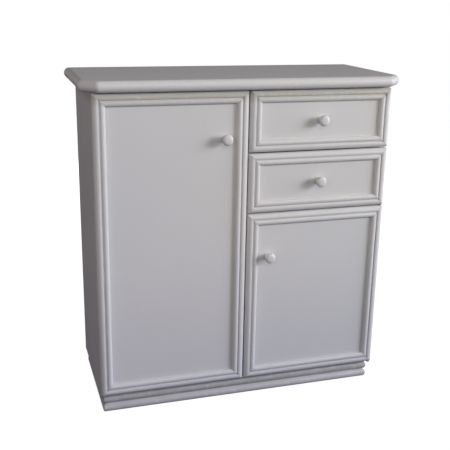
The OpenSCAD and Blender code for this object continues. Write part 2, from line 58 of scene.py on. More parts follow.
# sections of the mouldings, as the CAD draws them
EDGE_W = 15.5 * MM  # width of the outer round of a door or drawer frame
EDGE_R = 11 * MM  # radius of that round
BEAD_R = 8.5 * MM  # bead inside it
QUIRK = 3.5 * MM  # groove between the round and the bead
PANEL_RECESS = 10 * MM  # flat panel behind the crest
BACK_ROUND = 3.5 * MM  # radius of the rear outer corner of a frame
REBATE = BEAD_R  # width of the rebate that holds the flat panel
LIP_W = 18 * MM  # width of the edge moulding of the top
PLINTH_GROOVE = 8 * MM  # depth of the groove between the plinth beads
BRACKET_LEAF_T = 2 * MM
KNOB_SHANK_R, KNOB_HEAD_H = 2 * MM, 2.5 * MM  # screws of the knobs
BACK_SHANK_R, BACK_HEAD_H = 1.6 * MM, 1.5 * MM  # screws of the back panel
BRACKET_HEAD_R, BRACKET_HEAD_H = 3.2 * MM, 0.5 * MM

# heights between which the paint changes
PLINTH_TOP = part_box("plinth_front")[1].z
PLINTH_BEAD = PLINTH_TOP / 2
FRONT_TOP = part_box("door_left_rail_top")[1].z
LOW_SHADE_TOP = 420 * MM  # painted bluish shade, darker towards the floor, fades out by this height

# softening that sanding and paint give
FRONT_CORNER_R = 3 * MM  # outer corners of the fronts
TOP_CORNER_R = 14 * MM  # clipped corners of the top, seen from above
PLINTH_CORNER_R = 4 * MM
SEAM_DEPTH = 0.25 * MM  # sunk paint line at a glued mitre
SEAM_DIRT_AND_SHADE = 2.2  # grime and painted shade there, against 1 in a groove
SEAM_W = 0.8 * MM
BOARD_EDGE = 0.4 * MM  # rounded edges, from here down to TURNED_EDGE
SIDE_EDGE = 0.5 * MM
THIN_EDGE = 0.3 * MM
BLOCK_EDGE = 0.8 * MM
DRAWER_SIDE_EDGE = 0.7 * MM
PRESSED_EDGE = 0.25 * MM
TURNED_EDGE = 0.2 * MM
TOP_BOARD_EDGE = 0.12 * MM  # edges of the top board, at the glue line of its moulding
WORN_W = 4 * MM  # how far wear reaches in from an edge
WELD = 0.002 * MM
SHARP_ANGLE = math.radians(38)
FLAT_ANGLE = math.radians(0.5)
SQUARE_ON = 0.9999  # a face whose normal has a part this large lies square to an axis
ARC_STEPS = 14
CORNER_STEPS = 6


# ---------- sections: points are (inward, out, recess, wear) ----------

def arc(centre, radius, start, end, steps, recess=0.0, wear=0.0):
    """Points of an arc, with angles in degrees."""
    points = []
    for k in range(steps + 1):
        a = math.radians(start + (end - start) * k / steps)
        points.append((centre[0] + radius * math.cos(a), centre[1] + radius * math.sin(a), recess, wear))
    return points


def front_frame_section(frame_w, thickness):
    """Section of a frame member: in from its outer edge, and back from its crest."""
    soft = 0.6 * MM
    quirk_r = 0.7 * MM
    bead_at = EDGE_W + BEAD_R
    fall = math.degrees(math.asin((EDGE_W - soft - EDGE_R) / (EDGE_R - soft)))
    soft_at = (EDGE_W - soft, EDGE_R - (EDGE_R - soft) * math.cos(math.radians(fall)))
    quirk_floor = QUIRK - quirk_r
    bead_start = math.degrees(math.asin((BEAD_R - quirk_floor) / BEAD_R))
    points = arc((BACK_ROUND, thickness - BACK_ROUND), BACK_ROUND, 90, 180, 4)
    points += arc((EDGE_R, EDGE_R), EDGE_R, 180, 250, ARC_STEPS)
    points += arc((EDGE_R, EDGE_R), EDGE_R, 255, 270 + fall, 6, wear=1.0)
    points += arc(soft_at, soft, 275 + fall, 360, 3, recess=0.3)
    points += arc((EDGE_W + quirk_r, quirk_floor), quirk_r, 180, 0, 5, recess=1.0)
    points += arc((bead_at, BEAD_R), BEAD_R, 180 + bead_start, 240, 2, recess=0.3)
    points += arc((bead_at, BEAD_R), BEAD_R, 248, 292, 6, wear=1.0)
    points += arc((bead_at, BEAD_R), BEAD_R, 300, 360, 8)
    points += [(frame_w, PANEL_RECESS - 0.5 * MM, 0.6, 0.0), (frame_w, PANEL_RECESS, 1.0, 0.0)]
    points += [(frame_w - REBATE, PANEL_RECESS, 0.0, 0.0), (frame_w - REBATE, thickness, 0.0, 0.0)]
    return points


def top_edge_section(thickness):
    """Section of the top's edge moulding: in from the edge, and up from the underside."""
    r = thickness / 2
    seam = TOP_BOARD_EDGE
    points = [(LIP_W, seam, 0.0, 0.0), (LIP_W - seam, 0.0, 0.0, 0.0)]
    points += arc((r, r), r, 270, 205, ARC_STEPS // 2)
    points += arc((r, r), r, 200, 110, ARC_STEPS, wear=1.0)
    points += arc((r, r), r, 103, 90, 3, wear=0.4)
    points += [(LIP_W - seam, thickness, 0.3, 0.0), (LIP_W, thickness - seam, 0.3, 0.0)]
    return points


def plinth_section(thickness, height):
    """Section of a plinth board: in from its crest, and up from the floor."""
    r = height / 4
    turn = math.degrees(math.acos((r - PLINTH_GROOVE) / r))
    points = [(thickness, 0.0, 0.0, 0.0)]
    points += arc((r, r), r, 270, 225, 4, recess=0.6)
    points += arc((r, r), r, 220, 150, ARC_STEPS, wear=1.0)
    points += arc((r, r), r, 145, 180 - turn, 5, recess=0.4)
    points += [(PLINTH_GROOVE, 2 * r, 1.0, 0.0)]
    points += arc((r, 3 * r), r, 180 + turn, 215, 5, recess=0.4)
    points += arc((r, 3 * r), r, 210, 140, ARC_STEPS, wear=1.0)
    points += arc((r, 3 * r), r, 135, 90, 4)
    points += [(thickness, height, 0.0, 0.0)]
    return points


def shrunk(section, by):
    """The section with its outline drawn in by a small distance."""
    count = len(section)
    area = sum(
        section[i][0] * section[(i + 1) % count][1] - section[(i + 1) % count][0] * section[i][1]
        for i in range(count)
    )
    side = 1 if area > 0 else -1
    points = []
    for i, (u, v, _, _) in enumerate(section):
        before, after = section[i - 1], section[(i + 1) % count]
        along = Vector((after[0] - before[0], after[1] - before[1]))
        along = along.normalized() if along.length > 0 else Vector((0, 0))
        points.append((u - side * along.y * by, v + side * along.x * by, SEAM_DIRT_AND_SHADE, 0.0))
    return points


# ---------- mesh builders ----------

def corner_point(inward, half_angle, radius, share):
    """Place (along, inward) at a rounded mitred corner.

    Share 0 is on the mitre and share 1 is where the strip starts to run straight.
    """
    if inward >= radius:
        return inward / math.tan(half_angle), inward
    turn = math.pi + half_angle + (math.pi / 2 - half_angle) * share
    reach = radius - inward
    return radius / math.tan(half_angle) + reach * math.cos(turn), radius + reach * math.sin(turn)


def end_rings(section, half_angle, radius):
    """Rings of a strip from its end cap to its straight stretch, as (along, inward, out, recess, wear)."""
    drawn_in = shrunk(section, SEAM_DEPTH)
    rings = [[corner_point(u, half_angle, radius, 0) + (v, rec, 0.0) for u, v, rec, _ in drawn_in]]
    for k in range(CORNER_STEPS + 1):
        ring = []
        for u, v, recess, wear in section:
            along, inward = corner_point(u, half_angle, radius, k / CORNER_STEPS)
            shift = SEAM_W * (1 - k / CORNER_STEPS)
            ring.append((along + shift, inward, v, recess, wear))
        rings.append(ring)
    return rings


def paint_layers(bm):
    """Layers that say how deep in a groove each point lies, and how worn it is."""
    layers = bm.verts.layers.float
    recess_of = layers.get("recess") or layers.new("recess")
    wear_of = layers.get("wear") or layers.new("wear")
    return recess_of, wear_of


def strip(bm, section, origin, along, inward, out, length, start, end):
    """Moulding of a section between two ends, each given as (half angle of its mitre, corner radius)."""
    recess_of, wear_of = paint_layers(bm)
    rings = end_rings(section, *start)
    rings += [[(length - p[0],) + p[1:] for p in ring] for ring in reversed(end_rings(section, *end))]
    made = []
    for ring in rings:
        row = []
        for s, u, v, recess, wear in ring:
            vert = bm.verts.new(origin + along * s + inward * u + out * v)
            vert[recess_of], vert[wear_of] = recess, wear
            row.append(vert)
        made.append(row)
    count = len(section)
    for row, after in zip(made, made[1:]):
        for i in range(count):
            j = (i + 1) % count
            bm.faces.new((row[i], row[j], after[j], after[i]))
    bm.faces.new(made[0])
    bm.faces.new(made[-1])


def board(bm, low, high, edge):
    """Board with rounded edges; wear runs along the edges of each face."""
    recess_of, wear_of = paint_layers(bm)
    size = high - low
    middle = Matrix.Translation((low + high) / 2) @ Matrix.Diagonal((*size, 1))
    verts = bmesh.ops.create_cube(bm, size=1, matrix=middle)["verts"]
    edges = list({e for v in verts for e in v.link_edges})
    made = bmesh.ops.bevel(bm, geom=edges, offset=edge, segments=3, profile=0.5, affect="EDGES")
    verts = list({v for f in made["faces"] for v in f.verts})
    for v in verts:
        v[wear_of], v[recess_of] = 1.0, 0.0
    flat = [f for f in {f for v in verts for f in v.link_faces} if max(map(abs, f.normal)) > SQUARE_ON]
    inset = min(WORN_W, min(size) * 0.3)
    before = set(bm.verts)
    bmesh.ops.inset_individual(bm, faces=flat, thickness=inset)
    for v in set(bm.verts) - before:
        v[wear_of] = 0.0


def lathe(bm, outline, centre, axis, side, steps=48):
    """Turned piece: outline is (radius, height, recess, wear) from the bottom to the tip."""
    recess_of, wear_of = paint_layers(bm)
    across = axis.cross(side)
    rows = []
    for r, h, recess, wear in outline:
        row = []
        for k in range(steps if r > WELD else 1):
            a = 2 * math.pi * k / steps
            vert = bm.verts.new(centre + axis * h + (side * math.cos(a) + across * math.sin(a)) * r)
            vert[recess_of], vert[wear_of] = recess, wear
            row.append(vert)
        rows.append(row)
    for row, after in zip(rows, rows[1:]):
        for k in range(steps):
            a, b = row[k % len(row)], row[(k + 1) % len(row)]
            c, d = after[(k + 1) % len(after)], after[k % len(after)]
            corners = list(dict.fromkeys((a, b, c, d)))
            if len(corners) > 2:
                bm.faces.new(corners)


def screw_head(bm, centre, axis, side, radius, height):
    """Low domed screw head with a cross recess; axis points out of the head."""
    across = axis.cross(side)
    arm_w, arm_l, depth = radius * 0.16, radius * 0.62, height * 0.7
    dome = 0.8  # 1 would be a half ellipsoid
    steps, ring_count = 48, 12
    rows = []
    for i in range(ring_count + 1):
        r = radius * i / ring_count
        row = []
        for k in range(steps if i else 1):
            a = 2 * math.pi * k / steps
            x, y = r * math.cos(a), r * math.sin(a)
            h = height * math.sqrt(1 - dome * (r / radius) ** 2)
            if r < arm_l and min(abs(x), abs(y)) < arm_w:
                h -= depth * (1 - r / radius)
            row.append(bm.verts.new(centre + side * x + across * y + axis * h))
        rows.append(row)
    rows.append([bm.verts.new(v.co - axis * (v.co - centre).dot(axis)) for v in rows[-1]])
    for row, after in zip(rows, rows[1:]):
        for k in range(steps):
            corners = [row[k % len(row)], row[(k + 1) % len(row)], after[(k + 1) % steps], after[k]]
            bm.faces.new(list(dict.fromkeys(corners)))
    bm.faces.new(rows[-1])


def rod(bm, start, end, radius, steps=24):
    """Straight rod with slightly rounded ends."""
    axis = (end - start).normalized()
    side = (X_AXIS if abs(axis.x) < 0.9 else Y_AXIS).cross(axis).normalized()
    length = (end - start).length
    soft = radius * 0.2
    outline = [(0.0, 0.0, 0.0, 0.0), (radius - soft, 0.0, 0.0, 0.0), (radius, soft, 0.0, 0.0)]
    outline += [(radius, length - soft, 0.0, 0.0), (radius - soft, length, 0.0, 0.0), (0.0, length, 0.0, 0.0)]
    lathe(bm, outline, start, axis, side, steps)


def cad_mesh(node):
    """The CAD node's mesh, welded, with its flat faces joined up."""
    bm = bmesh.new()
    bm.from_mesh(NODES[node].data)
    bmesh.ops.transform(bm, matrix=NODES[node].matrix_world, verts=bm.verts)
    bmesh.ops.remove_doubles(bm, verts=bm.verts, dist=WELD)
    bmesh.ops.dissolve_limit(bm, angle_limit=FLAT_ANGLE, verts=bm.verts, edges=bm.edges)
    return bm


def solid_boxes(node):
    """Lowest and highest corners of each separate solid of a CAD node."""
    bm = cad_mesh(node)
    left = set(bm.verts)
    boxes = []
    while left:
        found = {left.pop()}
        front = list(found)
        while front:
            for e in front.pop().link_edges:
                fresh = set(e.verts) - found
                found |= fresh
                front += fresh
        left -= found
        low = Vector(min(v.co[i] for v in found) for i in range(3))
        high = Vector(max(v.co[i] for v in found) for i in range(3))
        boxes.append((low, high))
    bm.free()
    return sorted(boxes, key=lambda box: tuple(round(c, 4) for c in box[0]))


def softened(name, node, material, edge):
    """Copy of a CAD solid with its sharp edges rounded and worn."""
    bm = cad_mesh(node)
    wear_of = bm.verts.layers.float.new("wear")
    sharp = [e for e in bm.edges if len(e.link_faces) == 2 and e.calc_face_angle() > SHARP_ANGLE]
    made = bmesh.ops.bevel(
        bm, geom=sharp, offset=edge, segments=2, profile=0.5, affect="EDGES", clamp_overlap=True
    )
    for v in {v for f in made["faces"] for v in f.verts}:
        v[wear_of] = 1.0
    add_piece(name, bm, material, node)


def add_piece(name, bm, material, node):
    """Piece that stands for a CAD node, rides on its body and wears the given material; the node is hidden.
    """
    bmesh.ops.remove_doubles(bm, verts=bm.verts, dist=WELD)
    bmesh.ops.dissolve_degenerate(bm, edges=bm.edges, dist=WELD)
    bmesh.ops.recalc_face_normals(bm, faces=bm.faces)
    for face in bm.faces:
        face.smooth = max(map(abs, face.normal)) < SQUARE_ON
    for e in bm.edges:
        e.smooth = len(e.link_faces) == 2 and e.calc_face_angle() < SHARP_ANGLE
    mesh = bpy.data.meshes.new(name)
    bm.to_mesh(mesh)
    bm.free()
    mesh.materials.append(material)
    piece = bpy.data.objects.new(name, mesh)
    bpy.context.scene.collection.objects.link(piece)
    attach(piece, BODY_OF[node])
    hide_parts(node)


# ---------- materials ----------

class Nodes:
    """Short calls for a material's nodes."""

    def __init__(self, name):
        self.material = bpy.data.materials.new(name)
        self.material.use_nodes = True
        self.tree = self.material.node_tree
        self.shader = self.tree.nodes["Principled BSDF"]

    def add(self, kind, **inputs):
        node = self.tree.nodes.new(kind)
        for key, value in inputs.items():
            self.set(node, key.replace("_", " "), value)
        return node

    def set(self, node, key, value):
        if isinstance(value, bpy.types.NodeSocket):
            self.tree.links.new(value, node.inputs[key])
        else:
            node.inputs[key].default_value = value

    def coords(self, scale):
        mapping = self.add("ShaderNodeMapping", Vector=self.add("ShaderNodeTexCoord").outputs["Object"])
        mapping.inputs["Scale"].default_value = scale
        return mapping.outputs["Vector"]

    def height(self):
        place = self.add("ShaderNodeSeparateXYZ", Vector=self.add("ShaderNodeTexCoord").outputs["Object"])
        return place.outputs["Z"]

    def noise(self, vector, scale, detail, roughness=0.5):
        node = self.add("ShaderNodeTexNoise", Vector=vector, Scale=scale, Detail=detail, Roughness=roughness)
        return node.outputs["Fac"]

    def ramp(self, value, low, high, to_low=0.0, to_high=1.0):
        node = self.add("ShaderNodeMapRange")
        self.set(node, "Value", value)
        node.inputs["From Min"].default_value = low
        node.inputs["From Max"].default_value = high
        node.inputs["To Min"].default_value = to_low
        node.inputs["To Max"].default_value = to_high
        return node.outputs["Result"]

    def math(self, operation, a, b):
        node = self.tree.nodes.new("ShaderNodeMath")
        node.operation = operation
        for i, value in enumerate((a, b)):
            if isinstance(value, bpy.types.NodeSocket):
                self.tree.links.new(value, node.inputs[i])
            else:
                node.inputs[i].default_value = value
        return node.outputs["Value"]

    def mix(self, share, a, b):
        node = self.tree.nodes.new("ShaderNodeMix")
        node.data_type = "RGBA"
        for i, value in ((0, share), (6, a), (7, b)):  # sockets 6 and 7 are the two colours
            if isinstance(value, bpy.types.NodeSocket):
                self.tree.links.new(value, node.inputs[i])
            else:
                node.inputs[i].default_value = value if i == 0 else (*value, 1.0)
        return node.outputs[2]

    def attribute(self, name):
        node = self.tree.nodes.new("ShaderNodeAttribute")
        node.attribute_name = name
        return node.outputs["Fac"]

    def bump(self, height, strength, distance, normal=None):
        node = self.add("ShaderNodeBump", Height=height, Strength=strength, Distance=distance)
        if normal is not None:
            self.tree.links.new(normal, node.inputs["Normal"])
        return node.outputs["Normal"]

    def shade(self, **sockets):
        for key, value in sockets.items():
            self.set(self.shader, key.replace("_", " "), value)
        return self.material


PAINT = (0.728, 0.712, 0.702)
PAINT_COOL = (0.682, 0.694, 0.712)
PAINT_WARM = (0.700, 0.676, 0.630)
# grime, also the colour of painted shade in the grooves and on the plinth
GRIME_AND_SHADE = (0.250, 0.235, 0.220)
SHADE_UNDER_TOP = (0.240, 0.205, 0.100)  # painted warm brown shade under the overhang of the top
# painted bluish shade low down
LOW_BLUE_SHADE = (0.395, 0.425, 0.590)
PRIMER = (0.800, 0.795, 0.780)


def painted(name, brush_axis):
    """Satin paint over wood, brushed along one axis, with grime and painted shade in its grooves and rubbed
    edges; more painted shade under the top, on the plinth and low down.
    """
    n = Nodes(name)
    plain = n.coords((1, 1, 1))
    drag = n.coords(tuple(0.04 if a == brush_axis else 1.0 for a in range(3)))
    mottle = n.noise(plain, 2.3, 4)
    patches = n.ramp(n.noise(plain, 9.0, 5, 0.6), 0.35, 0.75)
    streaks = n.noise(drag, 260.0, 4, 0.6)
    stipple = n.noise(plain, 900.0, 2, 0.6)
    specks = n.noise(plain, 90.0, 5, 0.7)
    recess = n.attribute("recess")
    wear = n.attribute("wear")
    colour = n.mix(n.ramp(mottle, 0.3, 0.7), PAINT, PAINT_COOL)
    colour = n.mix(n.math("MULTIPLY", patches, 0.22), colour, PAINT_WARM)
    colour = n.mix(n.ramp(streaks, 0.3, 0.7, 0.0, 0.10), colour, PAINT_WARM)
    # grooves, quirks and mitre seams darken: partly grime, partly painted shade
    groove_dirt_and_shade = n.ramp(n.noise(plain, 30.0, 4), 0.2, 0.8, 0.01, 0.14)
    recess_dirt_and_shade = n.math("MULTIPLY", n.math("POWER", recess, 1.5), groove_dirt_and_shade)
    colour = n.mix(recess_dirt_and_shade, colour, GRIME_AND_SHADE)
    height = n.height()
    # warmer and a little darker towards the top
    colour = n.mix(n.ramp(height, LOW_SHADE_TOP, FRONT_TOP, 0.0, 0.38), colour, PAINT_WARM)
    # painted bluish shade, darker towards the floor
    colour = n.mix(n.ramp(height, PLINTH_TOP, LOW_SHADE_TOP, 0.26, 0.0), colour, LOW_BLUE_SHADE)
    # plinth darkened: partly scuff marks, partly painted shade under the overhanging doors, twice as strong
    # on the upper bead
    near_floor = n.ramp(height, PLINTH_TOP, PLINTH_TOP + 5 * MM, 1.0, 0.0)
    shade_under_doors = n.ramp(height, PLINTH_BEAD, PLINTH_BEAD + 3 * MM, 1.0, 2.0)
    scuff_and_shade_amount = n.ramp(n.noise(plain, 18.0, 5, 0.65), 0.25, 0.75, 0.19, 0.33)
    plinth_grime_and_shade = n.math("MULTIPLY", near_floor, shade_under_doors)
    colour = n.mix(n.math("MULTIPLY", plinth_grime_and_shade, scuff_and_shade_amount), colour, GRIME_AND_SHADE)
    # painted shade on the fronts just under the overhang of the top
    top_shade_cutoff = n.ramp(height, FRONT_TOP - 7 * MM, FRONT_TOP, 1.0, 0.0)
    top_shade = n.ramp(height, FRONT_TOP - 33 * MM, FRONT_TOP, 0.0, 0.56)
    colour = n.mix(n.math("MULTIPLY", top_shade_cutoff, top_shade), colour, SHADE_UNDER_TOP)
    rubbed = n.math("MULTIPLY", wear, n.ramp(specks, 0.52, 0.66))
    colour = n.mix(n.math("MULTIPLY", rubbed, 0.35), colour, PRIMER)
    rough = n.ramp(n.noise(plain, 14.0, 5), 0.2, 0.8, 0.46, 0.60)
    rough = n.math("SUBTRACT", rough, n.math("MULTIPLY", wear, 0.06))
    rough = n.math("ADD", rough, n.math("MULTIPLY", recess_dirt_and_shade, 0.25))
    relief = n.math("ADD", n.math("MULTIPLY", stipple, 0.35), n.math("MULTIPLY", streaks, 0.65))
    normal = n.bump(relief, 0.30, 0.05 * MM)
    normal = n.bump(n.noise(plain, 11.0, 2), 0.25, 0.4 * MM, normal)
    return n.shade(Base_Color=colour, Roughness=rough, Normal=normal, Coat_Weight=0.06, Coat_Roughness=0.4)


FACING, FACING_DULL, FACING_WORN = (0.78, 0.77, 0.74), (0.74, 0.735, 0.715), (0.60, 0.57, 0.52)


def faced_board(name):
    """White faced board of the inside, with its fine embossed surface."""
    n = Nodes(name)
    plain = n.coords((1, 1, 1))
    colour = n.mix(n.ramp(n.noise(plain, 3.0, 4), 0.3, 0.7), FACING, FACING_DULL)
    colour = n.mix(n.math("MULTIPLY", n.attribute("wear"), 0.35), colour, FACING_WORN)
    rough = n.ramp(n.noise(plain, 40.0, 4), 0.2, 0.8, 0.42, 0.55)
    normal = n.bump(n.noise(plain, 1400.0, 2), 0.25, 0.05 * MM)
    return n.shade(Base_Color=colour, Roughness=rough, Normal=normal)


PINE_EARLY, PINE_LATE = (0.66, 0.47, 0.28), (0.50, 0.32, 0.165)
PINE_PALE, PINE_STREAK = (0.70, 0.53, 0.34), (0.40, 0.25, 0.13)


def softwood(name, grain_axis):
    """Bare sanded pine with rings, fine fibre and a few darker streaks along the grain."""
    n = Nodes(name)
    stretched = n.coords(tuple(0.06 if a == grain_axis else 1.0 for a in range(3)))
    fibre_space = n.coords(tuple(0.02 if a == grain_axis else 1.0 for a in range(3)))
    warp = n.noise(stretched, 5.0, 3)
    rings = n.add("ShaderNodeTexWave", Vector=stretched, Scale=26.0, Distortion=5.0, Detail=2.0)
    rings.bands_direction = "XYZ"[grain_axis - 1]  # across the grain
    fibre = n.noise(fibre_space, 900.0, 3, 0.7)
    colour = n.mix(n.ramp(rings.outputs["Fac"], 0.2, 0.9), PINE_EARLY, PINE_LATE)
    colour = n.mix(n.ramp(warp, 0.3, 0.7, 0.0, 0.5), colour, PINE_PALE)
    colour = n.mix(n.ramp(fibre, 0.4, 0.7, 0.0, 0.3), colour, PINE_STREAK)
    rough = n.ramp(fibre, 0.2, 0.8, 0.55, 0.72)
    normal = n.bump(fibre, 0.3, 0.15 * MM)
    return n.shade(Base_Color=colour, Roughness=rough, Normal=normal)


FIBRE_DARK, FIBRE_LIGHT, FIBRE_BLOTCH = (0.36, 0.235, 0.135), (0.47, 0.33, 0.205), (0.30, 0.19, 0.11)


def fibre_board(name):
    """Brown hardboard: pressed fibres and a slight sheen."""
    n = Nodes(name)
    plain = n.coords((1, 1, 1))
    fibres = n.noise(plain, 520.0, 5, 0.75)
    blotch = n.noise(plain, 6.0, 4, 0.6)
    colour = n.mix(n.ramp(fibres, 0.35, 0.7), FIBRE_DARK, FIBRE_LIGHT)
    colour = n.mix(n.ramp(blotch, 0.3, 0.75, 0.0, 0.45), colour, FIBRE_BLOTCH)
    rough = n.ramp(blotch, 0.2, 0.8, 0.5, 0.68)
    normal = n.bump(fibres, 0.4, 0.12 * MM)
    return n.shade(Base_Color=colour, Roughness=rough, Normal=normal)


def metal(name, light, dark, low_rough, high_rough):
    """Plated or turned metal with fine scratches and dull spots."""
    n = Nodes(name)
    plain = n.coords((1, 1, 1))
    scratches = n.noise(n.coords((1, 1, 0.05)), 2200.0, 3, 0.7)
    spots = n.noise(plain, 160.0, 4, 0.6)
    colour = n.mix(n.ramp(spots, 0.35, 0.7), light, dark)
    rough = n.ramp(spots, 0.25, 0.75, low_rough, high_rough)
    normal = n.bump(scratches, 0.2, 0.03 * MM)
    n.shader.inputs["Metallic"].default_value = 1.0
    return n.shade(Base_Color=colour, Roughness=rough, Normal=normal)


PLASTIC_DARK, PLASTIC_LIGHT = (0.14, 0.145, 0.15), (0.18, 0.185, 0.19)
ZINC_LIGHT, ZINC_DARK = (0.62, 0.62, 0.63), (0.48, 0.48, 0.50)
BRASS_LIGHT, BRASS_DARK = (0.74, 0.57, 0.28), (0.55, 0.40, 0.18)


def moulded(name):
    """Grey moulded plastic with a fine spark-eroded texture."""
    n = Nodes(name)
    plain = n.coords((1, 1, 1))
    colour = n.mix(n.noise(plain, 60.0, 3), PLASTIC_DARK, PLASTIC_LIGHT)
    rough = n.ramp(n.noise(plain, 90.0, 3), 0.2, 0.8, 0.42, 0.56)
    normal = n.bump(n.noise(plain, 2600.0, 2), 0.3, 0.05 * MM)
    return n.shade(Base_Color=colour, Roughness=rough, Normal=normal)


paint_x = painted("paint_brushed_across", 0)
paint_y = painted("paint_brushed_front_to_back", 1)
paint_z = painted("paint_brushed_upright", 2)
faced = faced_board("white_faced_board")
pine_x = softwood("pine_across", 0)
pine_y = softwood("pine_front_to_back", 1)
pine_z = softwood("pine_upright", 2)
hardboard = fibre_board("hardboard")
zinc = metal("zinc_plated_steel", ZINC_LIGHT, ZINC_DARK, 0.28, 0.5)
turned_brass = metal("turned_brass", BRASS_LIGHT, BRASS_DARK, 0.25, 0.45)
plastic = moulded("grey_moulded_plastic")


# ---------- top ----------

def span(*nodes):
    """Lowest and highest corners of several CAD nodes together."""
    boxes = [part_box(node) for node in nodes]
    low = Vector(min(b[0][i] for b in boxes) for i in range(3))
    high = Vector(max(b[1][i] for b in boxes) for i in range(3))
    return low, high


SQUARE_END = (math.pi / 2, 0.0)


def build_top():
    low, high = span("top_board", "top_lipping_front", "top_lipping_left", "top_lipping_right")
    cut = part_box("top_lipping_front")[0].x - low.x
    corners = [
        Vector((low.x, high.y, low.z)), Vector((low.x, low.y + cut, low.z)),
        Vector((low.x + cut, low.y, low.z)), Vector((high.x - cut, low.y, low.z)),
        Vector((high.x, low.y + cut, low.z)), Vector((high.x, high.y, low.z)),
    ]
    section = top_edge_section(high.z - low.z)
    clipped = (math.radians(67.5), TOP_CORNER_R)
    pieces = [
        ("top_edge_left", "top_lipping_left", paint_y, [0]),
        ("top_edge_front", "top_lipping_front", paint_x, [2]),
        ("top_edge_right", "top_lipping_right", paint_y, [4]),
        ("top_edge_corners", "top_lipping_corners", paint_x, [1, 3]),
    ]
    for name, node, material, sides in pieces:
        bm = bmesh.new()
        for i in sides:
            a, b = corners[i], corners[i + 1]
            along = (b - a).normalized()
            start = SQUARE_END if i == 0 else clipped
            end = SQUARE_END if i == 4 else clipped
            strip(bm, section, a, along, Z_AXIS.cross(along), Z_AXIS, (b - a).length, start, end)
        add_piece(name, bm, material, node)
    bm = bmesh.new()
    board_low, board_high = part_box("top_board")
    inner_cut = cut - LIP_W * (2 - math.sqrt(2))
    outline = [
        (board_low.x, board_high.y), (board_low.x, board_low.y + inner_cut),
        (board_low.x + inner_cut, board_low.y), (board_high.x - inner_cut, board_low.y),
        (board_high.x, board_low.y + inner_cut), (board_high.x, board_high.y),
    ]
    lower = [bm.verts.new((x, y, board_low.z)) for x, y in outline]
    face = bm.faces.new(lower)
    made = bmesh.ops.extrude_face_region(bm, geom=[face])["geom"]
    raised = [part for part in made if isinstance(part, bmesh.types.BMVert)]
    bmesh.ops.translate(bm, vec=(0, 0, board_high.z - board_low.z), verts=raised)
    bmesh.ops.bevel(bm, geom=bm.edges[:], offset=TOP_BOARD_EDGE, segments=1, affect="EDGES")
    add_piece("top_board_painted", bm, paint_x, "top_board")


# ---------- doors and drawer fronts ----------

def frame_members(low, high, nodes, prefix):
    """Four mitred mouldings round a front; nodes are those of the bottom, right, top and left one."""
    thickness = high.y - low.y
    section = front_frame_section(FRAME_W, thickness)
    width, height = high.x - low.x, high.z - low.z
    mitre = (math.pi / 4, FRONT_CORNER_R)
    places = [
        ("rail_bottom", Vector((low.x, low.y, low.z)), X_AXIS, Z_AXIS, width, paint_x),
        ("stile_right", Vector((high.x, low.y, low.z)), Z_AXIS, -X_AXIS, height, paint_z),
        ("rail_top", Vector((high.x, low.y, high.z)), -X_AXIS, -Z_AXIS, width, paint_x),
        ("stile_left", Vector((low.x, low.y, high.z)), -Z_AXIS, X_AXIS, height, paint_z),
    ]
    for node, (name, origin, along, inward, length, material) in zip(nodes, places):
        bm = bmesh.new()
        strip(bm, section, origin, along, inward, Y_AXIS, length, mitre, mitre)
        add_piece(f"{prefix}_{name}", bm, material, node)


def flat_panel(node, material):
    bm = bmesh.new()
    board(bm, *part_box(node), BOARD_EDGE)
    add_piece(f"{node}_painted", bm, material, node)


def knob_outline(length, radius):
    """Turned knob: foot disc, waisted neck, and a head with a nearly flat face and a round rim."""
    foot_r, foot_h, foot_round = radius - 5 * MM, 2.5 * MM, 0.8 * MM
    neck_r, neck_steps = radius / 2 - 0.4 * MM, 8
    head_h, head_steps = 9 * MM, 24
    head_at = length - head_h
    under = math.radians(52)  # where the head starts, below its widest ring
    rim_power = 2 / 3  # 1 would be a half ellipse
    points = [(0.0, 0.0, 0.0, 0.0), (foot_r - 0.5 * MM, 0.0, 1.0, 0.0)]
    points += arc((foot_r - foot_round, foot_h - foot_round), foot_round, 0, 90, 4)
    head_start = radius * math.cos(under)
    rise = 0.97 * (head_at - head_h * math.sin(under) - foot_h)
    for k in range(neck_steps + 1):
        share = k / neck_steps
        waist = neck_r + (foot_r - 2 * MM - neck_r) * (1 - share) ** 3 + (head_start - neck_r) * share ** 4
        points.append((waist, foot_h + rise * share, 0.5 * (1 - share), 0.0))
    for k in range(1, head_steps + 1):
        a = -under + (math.pi / 2 + under) * k / head_steps
        worn = 1.0 if -10 < math.degrees(a) < 60 else 0.3
        power = rim_power if a > 0 else 1
        forwards = math.copysign(abs(math.sin(a)) ** power, a)
        points.append((radius * abs(math.cos(a)) ** power, head_at + head_h * forwards, 0.0, worn))
    points[-1] = (0.0, length, 0.0, 0.5)
    return points


def knob(node):
    low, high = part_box(node)
    radius = (high.x - low.x) / 2
    foot = Vector(((low.x + high.x) / 2, high.y, (low.z + high.z) / 2))
    bm = bmesh.new()
    lathe(bm, knob_outline(high.y - low.y, radius), foot, -Y_AXIS, X_AXIS)
    add_piece(f"{node}_turned", bm, paint_z, node)


left_rail_low, left_rail_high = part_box("door_left_rail_bottom")
FRAME_W = left_rail_high.z - left_rail_low.z


def build_fronts():
    for side, knob_side, hinge_side in (("left", "right", "left"), ("right", "left", "right")):
        door = f"door_{side}"
        stiles = {hinge_side: f"{door}_stile_hinge", knob_side: f"{door}_stile_knob"}
        nodes = [f"{door}_rail_bottom", stiles["right"], f"{door}_rail_top", stiles["left"]]
        frame_members(*span(*nodes), nodes, door)
        flat_panel(f"{door}_panel", paint_z)
        knob(f"{door}_knob")
    for drawer in ("drawer_upper", "drawer_lower"):
        node = f"{drawer}_frame"
        frame_members(*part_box(node), [node] * 4, drawer)
        flat_panel(f"{drawer}_panel", paint_x)
        knob(f"{drawer}_knob")


# ---------- plinth ----------

